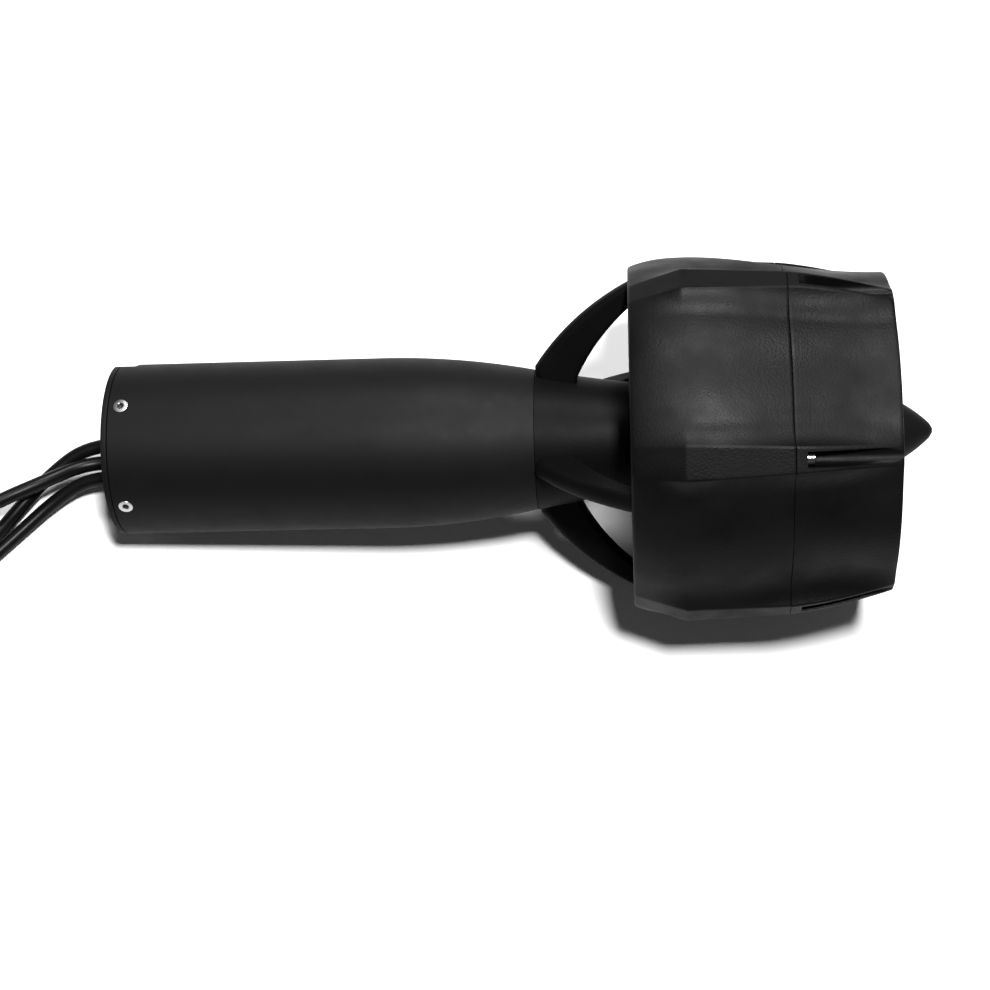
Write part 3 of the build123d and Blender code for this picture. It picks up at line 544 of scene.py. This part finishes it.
def scratch_mesh(name, points, faces):
    mesh = bpy.data.meshes.new(name)
    mesh.from_pydata([tuple(p) for p in points], [], faces)
    face_outwards(mesh)
    scratch = bpy.data.objects.new(name, mesh)
    bpy.context.scene.collection.objects.link(scratch)
    return scratch


def carved(shape, cutters):
    """The shape with every cutter taken out of it, still in the shaft frame."""
    base = scratch_mesh("carve_base", *shape)
    for cutter in cutters:
        tool = scratch_mesh("carve_tool", *cutter)
        cut = base.modifiers.new("cut", "BOOLEAN")
        cut.operation = "DIFFERENCE"
        cut.solver = "EXACT"
        cut.object = tool
        evaluated = base.evaluated_get(bpy.context.evaluated_depsgraph_get())
        done = bpy.data.meshes.new_from_object(evaluated)
        base.modifiers.clear()
        base.data = done
        bpy.data.objects.remove(tool)
    mesh = base.data
    out = [tuple(v.co) for v in mesh.vertices], [list(p.vertices) for p in mesh.polygons]
    bpy.data.objects.remove(base)
    return out


def bores(start, end, radius, circle, angles, segments):
    """Cutters for round holes along the shaft, their middles on a circle about it."""
    hole = lathe([(start, 0), (start, radius), (end, radius), (end, 0)], segments)
    beside = Matrix.Translation((0, circle, 0))
    return [moved(hole, round_shaft(degrees) @ beside) for degrees in angles]


# Pod
def pod_body():
    tail = tangent_arc((POD_STRAIGHT, POD_R), (POD_LENGTH, POD_END_R), 40)
    profile = places((POD_FRONT, POD_R - 0.3), (2.6, POD_R))
    profile += places(*[(x, POD_R) for x in np.linspace(4, 98, 24)], *tail)
    profile += places((POD_LENGTH, POD_TAIL_BORE), (POD_TAIL_WALL, POD_TAIL_BORE))
    profile += places((POD_TAIL_WALL, POD_BORE), (POD_FRONT, POD_BORE))
    return lathe(profile, 256, closed=True)


def countersink(degrees):
    """The cutter of a cap screw's hole, its cone's wide end just under the pod's surface."""
    low_r, high_r, depth, above = 1.7, 2.98, 1.28, 3.0
    angles = [TURN * k / 48 for k in range(48)]
    levels = [(-9.0, low_r), (-depth, low_r), (0.0, high_r), (above, high_r)]
    loops = [[(r * math.cos(a), r * math.sin(a), z) for a in angles] for z, r in levels]
    return moved(skin(loops, capped=True), on_side(CAP_SCREW_X, POD_R - 0.12, degrees))


def flat_tool():
    """The cutter of the key flat at the pod's front edge, which ends in a slope."""
    floor = POD_R - FLAT_DEPTH
    over = POD_R + 4
    outline = [(-2.2, floor), (8.2, floor), (12.2, over), (-2.2, over)]
    ends = [[(x, r, side) for x, r in outline] for side in (-FLAT_HALF, FLAT_HALF)]
    return moved(prism(*ends), round_shaft(FLAT_ANGLE))


def cap_form():
    return lathe(soft_corners([
        (0.0, 0.0, 0), (0.0, POD_R, 0.45), (CAP_FLANGE, POD_R, 0.25), (CAP_FLANGE, POD_BORE, 0),
        (CAP_DEPTH, POD_BORE, 0), (CAP_DEPTH, CAP_RECESS_R, 0), (CAP_RECESS, CAP_RECESS_R, 0),
        (CAP_RECESS, 0.0, 0),
    ]), 256)


pod_tools = [countersink(degrees) for degrees in CAP_SCREW_ANGLES] + [flat_tool()]
add_piece("pod_shell", *carved(pod_body(), pod_tools), "pod", "anodised", ["motor_housing"])
cap_tools = [flat_tool()]
cap_tools += bores(-1, 9, BOLT_R, BOLT_CIRCLE, [18 + 90 * k for k in range(4)], 40)
cap_tools += bores(-1, 3.0, LEAD_HOLE_R, LEAD_CIRCLE, LEAD_ANGLES, 48)
add_piece("pod_cap", *carved(cap_form(), cap_tools), "pod", "anodised", ["front_cap"])


# Screws
SCREW_SEGMENTS = 48
SCREW_BANDS = 12
# The bands of each screw's socket, which take the painted shade.
PAINTED_SHADE_BANDS = (9, 10, 11)


def ringed(place, rings):
    """A screw from its end to its socket's floor, in (radius, height, six-sided) rings.
    The first and the last ring are points."""
    angles = [TURN * k / SCREW_SEGMENTS for k in range(SCREW_SEGMENTS)]
    loops = []
    for radius, height, six in rings:
        if radius == 0.0:
            loops.append([(0, 0, height)])
            continue
        loop = []
        for angle in angles:
            from_flat = (angle + math.pi / 6) % (math.pi / 3) - math.pi / 6
            reach = radius / math.cos(from_flat) if six else radius
            loop.append((reach * math.cos(angle), reach * math.sin(angle), height))
        loops.append(loop)
    return moved(skin(loops), place)


def shank_rings(radius, length, shoulder):
    """The screw's end with its chamfer, and its shank up to the shoulder's height."""
    return [
        (0.0, -length, False), (radius * 0.86, -length, False),
        (radius, -length + 0.3, False), (radius, shoulder, False),
    ]


def sunk_screw(place, head_r, across, shank_r, length):
    """A countersunk screw with a hexagon socket, its flat top at height nought and facing +Z."""
    hexagon = across / 2
    return ringed(place, shank_rings(shank_r, length, shank_r - head_r) + [
        (head_r - 0.02, -0.2, False), (head_r, -0.1, False),
        (head_r - 0.06, -0.03, False), (head_r - 0.16, 0.0, False),
        (hexagon + 0.34, 0.0, False), (hexagon + 0.12, -0.14, True),
        (hexagon, -0.24, True), (hexagon, -1.2, True), (0.0, -1.45, False),
    ])


def head_screw(place, head_r, high, across, shank_r, length):
    """A cylinder head screw with a hexagon socket, its seat at height nought and its head
    towards +Z."""
    hexagon = across / 2
    return ringed(place, shank_rings(shank_r, length, 0.0) + [
        (head_r - 0.1, 0.0, False), (head_r, 0.1, False),
        (head_r, high - 0.35, False), (head_r - 0.35, high, False),
        (hexagon + 0.36, high, False), (hexagon + 0.1, high - 0.14, True),
        (hexagon, high - 0.24, True), (hexagon, high - 1.6, True), (0.0, high - 1.9, False),
    ])


def add_screws(name, screws, replaced, finish=None):
    """Screws in one piece, their hexagon sockets given a near-black material as painted shade."""
    shape = joined(*screws)
    piece = add_piece(name, *shape, "pod", "stainless", [replaced], sharp=30, finish=finish)
    piece.data.materials.append(socket_painted_shade)
    # Faces in the socket bands get the painted shade.
    for face in piece.data.polygons:
        if (face.index % (SCREW_BANDS * SCREW_SEGMENTS)) // SCREW_SEGMENTS in PAINTED_SHADE_BANDS:
            face.material_index = 1


cap_screws = []
for number, degrees in enumerate(CAP_SCREW_ANGLES):
    seat = on_side(CAP_SCREW_X, POD_R - CAP_SCREW_SINK, degrees)
    turned = Matrix.Rotation(0.4 * number, 4, "Z")
    cap_screws.append(
        sunk_screw(seat @ turned, head_r=2.72, across=2.0, shank_r=1.5, length=6.0))
add_screws("cap_screws", cap_screws, "front_cap_screws")
add_screws("duct_screws_fine", [
    head_screw(along_shaft(DUCT_SCREW_X, DUCT_SCREW_CIRCLE, 60 * k),
               head_r=2.7, high=3.0, across=2.5, shank_r=1.5, length=12.0)
    for k in range(RIBS)
], "duct_screws", bright_steel)
add_screws("hub_screws_fine", [
    head_screw(along_shaft(HUB_SCREW_X, HUB_SCREW_CIRCLE, 90 * k),
               head_r=3.5, high=4.0, across=3.0, shank_r=2.0, length=24.0)
    for k in range(4)
], "hub_screws")


# Duct
def lobe_radius(x):
    """The duct's outer radius between two ribs."""
    if x < LOBE_TOP:
        return LOBE_R - LOBE_FRONT_FALL * ((LOBE_TOP - x) / (LOBE_TOP - DUCT_FRONT)) ** 2.6
    share = min(1.0, (x - LOBE_TOP) / (DUCT_REAR - LOBE_TOP))
    return LOBE_REAR_R + (LOBE_R - LOBE_REAR_R) * (0.5 + 0.5 * math.cos(math.pi * share ** 0.92))


def rib_radius(x):
    """The distance of a rib's flat top from the shaft axis."""
    if x <= DUCT_KINK:
        return RIB_R - RIB_FRONT_FALL * (DUCT_KINK - x) / (DUCT_KINK - DUCT_FRONT)
    fall = RIB_SEAM_FALL * (x - DUCT_KINK) / (DUCT_SEAM - DUCT_KINK)
    late = max(0.0, (x - DUCT_SEAM) / (DUCT_REAR - DUCT_SEAM))
    return RIB_R - fall - RIB_REAR_FALL * late ** 1.5


def rib_half(x):
    """Half the width of a rib's flat top."""
    if x <= DUCT_KINK:
        return RIB_HALF - RIB_FRONT_NARROWING * (DUCT_KINK - x) / (DUCT_KINK - DUCT_FRONT)
    return RIB_HALF - RIB_REAR_NARROWING * (x - DUCT_KINK) / (DUCT_REAR - DUCT_KINK)


def flank(foot, tangent, corner, count):
    """The scooped side of a rib: an arc that leaves the lobe smoothly and ends at the corner."""
    normal = Vector((-tangent.y, tangent.x))
    gap = corner - foot
    if normal.dot(gap) < 0:
        normal = -normal
    centre = foot + normal * (gap.length_squared / (2 * normal.dot(gap)))
    start = foot - centre
    turn = start.angle_signed(corner - centre)
    points = []
    for k in range(count + 1):
        angle = -turn * k / count
        c, s = math.cos(angle), math.sin(angle)
        points.append(centre + Vector((start.x * c - start.y * s, start.x * s + start.y * c)))
    return points


def eased(before, corner, after, cut, steps):
    """A corner between two points cut back by a length and rounded."""
    first = corner + (before - corner).normalized() * cut
    last = corner + (after - corner).normalized() * cut
    return rounded(first, corner, last, steps)


def section(x, inset=0.0):
    """The duct's outer outline at x as points in the plane across the shaft."""
    top = rib_radius(x) - inset
    half = rib_half(x)
    lobe = lobe_radius(x) - inset
    foot = Vector((lobe * math.cos(FOOT_ANGLE), lobe * math.sin(FOOT_ANGLE)))
    down = Vector((math.sin(FOOT_ANGLE), -math.cos(FOOT_ANGLE)))
    corner = Vector((top, half))
    side = flank(foot, down, corner, 16)[::-1]
    edge = eased(Vector((top, 0)), corner, side[1], 0.75, 5)
    half_rib = [Vector((top, half * k / 4)) for k in range(4)] + edge + side[1:]
    outline = [Vector((p.x, -p.y)) for p in reversed(half_rib[1:])] + half_rib
    for k in range(1, 24):
        angle = FOOT_ANGLE + (TURN / RIBS - 2 * FOOT_ANGLE) * k / 24
        outline.append(Vector((lobe * math.cos(angle), lobe * math.sin(angle))))
    spins = [Matrix.Rotation(i * TURN / RIBS, 2) for i in range(RIBS)]
    return [spin @ p for spin in spins for p in outline]


def duct_wall(stations, inner):
    """A closed ring: the outer outline at each (x, inset), then (x, r) circles back again."""
    loops = [[(x, p.x, p.y) for p in section(x, inset)] for x, inset in stations]
    angles = [math.atan2(p.y, p.x) for p in section(stations[0][0])]
    loops += [[(x, r * math.cos(a), r * math.sin(a)) for a in angles] for x, r in inner]
    return skin(loops, closed=True)


def plain_stations(start, end, count):
    return [(x, 0.0) for x in np.linspace(start, end, count)]


def front_wall():
    seam = DUCT_SEAM - SEAM_HALF_GAP
    lip = [(0.0, 0.95), (0.08, 0.55), (0.3, 0.25), (0.75, 0.05), (1.3, 0.0)]
    stations = [(DUCT_FRONT + run, inset) for run, inset in lip]
    stations += plain_stations(DUCT_FRONT + 2.8, DUCT_KINK - 0.8, 10)
    stations += [(DUCT_KINK - 0.25, 0.01), (DUCT_KINK + 0.25, 0.01), (DUCT_KINK + 0.8, 0.0)]
    stations += plain_stations(DUCT_KINK + 2.5, DUCT_SEAM - 1.0, 20)
    stations += [(DUCT_SEAM - 0.35, 0.0), (DUCT_SEAM - 0.12, 0.12), (seam, 0.4), (seam, 1.5)]
    mouth_end = DUCT_FRONT + MOUTH_LENGTH
    flare = tangent_arc((0, -DUCT_BORE), (MOUTH_LENGTH, -MOUTH_R), 24)
    inner = [(seam, DUCT_BORE), (DUCT_SEAM - 8, DUCT_BORE), (mouth_end + 6, DUCT_BORE)]
    inner += [(mouth_end - run, -r) for run, r in flare[:-1]]
    inner += [(DUCT_FRONT + 0.25, MOUTH_R + 0.05), (DUCT_FRONT, MOUTH_R + 0.4)]
    return duct_wall(stations, inner)


def rear_wall():
    seam = DUCT_SEAM + SEAM_HALF_GAP
    stations = [(seam, 1.5), (seam, 0.4), (DUCT_SEAM + 0.12, 0.12), (DUCT_SEAM + 0.35, 0.0)]
    stations += plain_stations(DUCT_SEAM + 1.2, DUCT_REAR - 1.6, 30)
    stations += [(DUCT_REAR - 0.6, 0.03), (DUCT_REAR - 0.2, 0.2), (DUCT_REAR, 0.6)]
    inner = [(DUCT_REAR, DUCT_BORE + 0.5), (DUCT_REAR - 0.3, DUCT_BORE)]
    inner += [(DUCT_REAR - 6, DUCT_BORE), (DUCT_SEAM + 6, DUCT_BORE), (seam, DUCT_BORE)]
    return duct_wall(stations, inner)


def channel_tool(degrees):
    """The screw's channel in a rear rib: a round floor with straight walls above it."""
    half = CHANNEL_HALF
    floor = np.linspace(-math.pi / 2, math.pi / 2, 20)
    outline = places(*[(half * math.sin(a), -half * math.cos(a)) for a in floor])
    outline += places((half, CHANNEL_HEIGHT), (-half, CHANNEL_HEIGHT))
    ends = [[(x, DUCT_SCREW_CIRCLE + p.y, p.x) for p in outline]
            for x in (DUCT_SCREW_X, DUCT_REAR + 2)]
    return moved(prism(*ends), round_shaft(degrees))


def strut_form(degrees):
    """A bowed strut with a round nose, its foot in the hub and its head in the duct's wall.
    Its outline across is in (share of the way from nose to tail, half thickness)."""
    quarter = math.pi / 2
    nose = [(160.9, 22.0), (160.9, 26.0)]
    nose += arc((160.9, 29.8), (176.0, 47.7), (198.2, 62.9), 30)
    tail = [(176.6, 18.0), (176.6, 22.0)]
    tail += arc((208.1, 61.3), (185.5, 40.5), (176.6, 25.3), 30)[::-1]
    outline = []
    for t in [k / 8 for k in range(9)]:
        share = STRUT_NOSE_SHARE * (1 - math.cos(t * quarter))
        outline.append((share, STRUT_HALF * math.sin(t * quarter)))
    for t in [k / 6 for k in range(1, 6)]:
        outline.append((STRUT_NOSE_SHARE + STRUT_FLAT_SHARE * t, STRUT_HALF))
    for t in [k / 6 for k in range(7)]:
        share = 1 - STRUT_TAIL_SHARE + STRUT_TAIL_SHARE * math.sin(t * quarter)
        thinning = STRUT_TAIL_THINNING * (1 - math.cos(t * quarter))
        outline.append((share, STRUT_HALF - thinning))
    outline += [(s, -h) for s, h in reversed(outline[1:])]
    loops = [[(nx + (tx - nx) * s, nr + (tr - nr) * s, h) for s, h in outline]
             for (nx, nr), (tx, tr) in zip(nose, tail)]
    return moved(skin(loops, capped=True), round_shaft(degrees))


def hub_form():
    front = POD_LENGTH + 0.08
    side = arc((POD_LENGTH + 0.25, POD_END_R), (196.0, 21.0), (HUB_END, 18.3), 60)
    profile = places((front, HUB_PLUG_R), (front, POD_END_R - 0.25), *side[:-1])
    profile += places((HUB_END - 0.3, 18.25), (HUB_END, 17.95), (HUB_END, HUB_BORE))
    profile += places((HUB_PLUG, HUB_BORE), (HUB_PLUG, HUB_PLUG_R))
    return lathe(profile, 200, closed=True)


add_piece("duct_front_shell", *front_wall(), "pod", "moulding", ["duct_front"], sharp=40)
hub_tools = bores(HUB_SCREW_X, 230.0, HUB_SCREW_HOLE_R, HUB_SCREW_CIRCLE,
                  [90 * k for k in range(4)], 40)
add_piece("hub_shell", *carved(hub_form(), hub_tools), "pod", "moulding",
          sharp=35, finish=strut_moulding)
for k in range(4):
    add_piece(f"strut_{k}", *strut_form(45 + 90 * k), "pod", "moulding",
              sharp=50, finish=strut_moulding)
rear_tools = [channel_tool(60 * k) for k in range(RIBS)]
add_piece("duct_rear_shell", *carved(rear_wall(), rear_tools), "pod", "moulding", ["duct_rear"],
          sharp=35)


# Propeller and spinner
def blade_form(degrees):
    """A blade of one pitch from inside the hub to its tip, bent round the shaft."""
    steps = 20
    loops = []
    for r in np.linspace(BLADE_START_R, TIP_R, 26):
        share = (r - BLADE_FOOT_R) / (TIP_R - BLADE_FOOT_R)
        chord = np.interp(share, BLADE_SHARES, BLADE_CHORDS)
        thick = np.interp(share, BLADE_SHARES, BLADE_THICKS)
        angle = math.atan2(BLADE_PITCH, TURN * r)
        loop = []
        for side in (1, -1):
            edge = side * BLADE_EDGE_HALF
            for k in range(steps + 1):
                share_along = side * (-0.5 + k / steps)
                bulge = 1 - (2 * share_along) ** 2
                u = share_along * chord
                v = edge + bulge * (side * thick / 2 + BLADE_CAMBER * thick - edge)
                a = u * math.cos(angle) - v * math.sin(angle)
                b = u * math.sin(angle) + v * math.cos(angle)
                loop.append((BLADE_X + b, r * math.cos(a / r), r * math.sin(a / r)))
        loops.append(loop)
    return moved(skin(loops, capped=True), round_shaft(degrees))


def prop_hub():
    end = PROP_END - PROP_HALF_GAP
    return lathe(soft_corners([
        (PROP_X, PROP_BORE, 0), (PROP_X, PROP_HUB_R, 0.5), (end, PROP_HUB_R, 0.12),
        (end, PROP_NUT_ROOM_R, 0), (PROP_NUT_ROOM, PROP_NUT_ROOM_R, 0),
        (PROP_NUT_ROOM, PROP_BORE, 0),
    ]), 160, closed=True)


def spinner_form():
    front = PROP_END + PROP_HALF_GAP
    bulge = (PROP_END + SPINNER_LENGTH * 0.66, PROP_HUB_R * 0.585)
    side = arc((front, PROP_HUB_R), bulge, (PROP_END + SPINNER_LENGTH, 1.6), 40)
    profile = places((front, 10.4), (front, PROP_HUB_R - 0.15), *side[:-2])
    profile += places((PROP_END + 31.6, 1.45), (PROP_END + 31.9, 0.9))
    profile += places((PROP_END + SPINNER_LENGTH, 0.0))
    return lathe(profile, 128)


blades = [blade_form(90 + 120 * k) for k in range(3)]
add_piece("propeller_fine", *joined(prop_hub(), *blades), "rotor", "moulding", ["propeller"],
          sharp=40)
add_piece("spinner_fine", *spinner_form(), "rotor", "anodised", ["spinner"], sharp=50)


# Floor, world and lights
def make_floor():
    """A white disc, paler to the camera than the light that it throws back on the part."""
    reach = 0.66
    mesh = bpy.data.meshes.new("floor")
    angles = [TURN * k / 128 for k in range(128)]
    rim = [(reach * math.cos(a), reach * math.sin(a), 0) for a in angles]
    mesh.from_pydata(rim, [], [list(range(128))])
    floor = bpy.data.objects.new("floor", mesh)
    bpy.context.scene.collection.objects.link(floor)
    material, nodes, links, shader = new_material("floor")
    shader.inputs["Roughness"].default_value = 0.9
    shader.inputs["Specular IOR Level"].default_value = 0.1
    to_camera = nodes.new("ShaderNodeLightPath").outputs["Is Camera Ray"]
    tone = colour_mix(nodes, links, to_camera, (0.62, 0.62, 0.62), (0.96, 0.96, 0.96))
    links.new(tone, shader.inputs["Base Color"])
    gain = nodes.new("ShaderNodeMath")
    gain.operation = "MULTIPLY"
    gain.inputs[1].default_value = 0.008
    links.new(to_camera, gain.inputs[0])
    lift = nodes.new("ShaderNodeEmission")
    lift.inputs["Color"].default_value = (1, 1, 1, 1)
    links.new(gain.outputs[0], lift.inputs["Strength"])
    both = nodes.new("ShaderNodeAddShader")
    links.new(shader.outputs[0], both.inputs[0])
    links.new(lift.outputs[0], both.inputs[1])
    links.new(both.outputs[0], nodes["Material Output"].inputs["Surface"])
    mesh.materials.append(material)


def make_world():
    """White to the camera and a faint even light to everything else."""
    world = bpy.data.worlds.new("world")
    bpy.context.scene.world = world
    world.use_nodes = True
    nodes, links = world.node_tree.nodes, world.node_tree.links
    faint = nodes["Background"]
    faint.inputs["Color"].default_value = (1, 1, 1, 1)
    faint.inputs["Strength"].default_value = 0.06
    white = nodes.new("ShaderNodeBackground")
    white.inputs["Color"].default_value = (1, 1, 1, 1)
    white.inputs["Strength"].default_value = 1.0
    rays = nodes.new("ShaderNodeLightPath")
    mix = nodes.new("ShaderNodeMixShader")
    links.new(rays.outputs["Is Camera Ray"], mix.inputs["Fac"])
    links.new(faint.outputs[0], mix.inputs[1])
    links.new(white.outputs[0], mix.inputs[2])
    links.new(mix.outputs[0], nodes["World Output"].inputs["Surface"])


def area_light(name, azimuth, elevation, size_x, size_y, power):
    """A lamp that faces a point just above the bench's middle, its azimuth from -Y towards +X."""
    data = bpy.data.lights.new(name, "AREA")
    data.shape = "RECTANGLE"
    data.size = size_x
    data.size_y = size_y
    data.energy = power
    light = bpy.data.objects.new(name, data)
    a, e = math.radians(azimuth), math.radians(elevation)
    way = Vector((math.sin(a) * math.cos(e), -math.cos(a) * math.cos(e), math.sin(e)))
    light.location = Vector((0.0, 0.0, 0.05)) + way * 1.5
    light.rotation_mode = "QUATERNION"
    light.rotation_quaternion = (-way).to_track_quat("-Z", "Y")
    bpy.context.scene.collection.objects.link(light)


make_floor()
make_world()
area_light("ceiling", 0, 81.5, 0.14, 0.14, 28)
area_light("back", 180, 55, 0.4, 0.25, 20)
bpy.context.scene.view_settings.view_transform = "Standard"
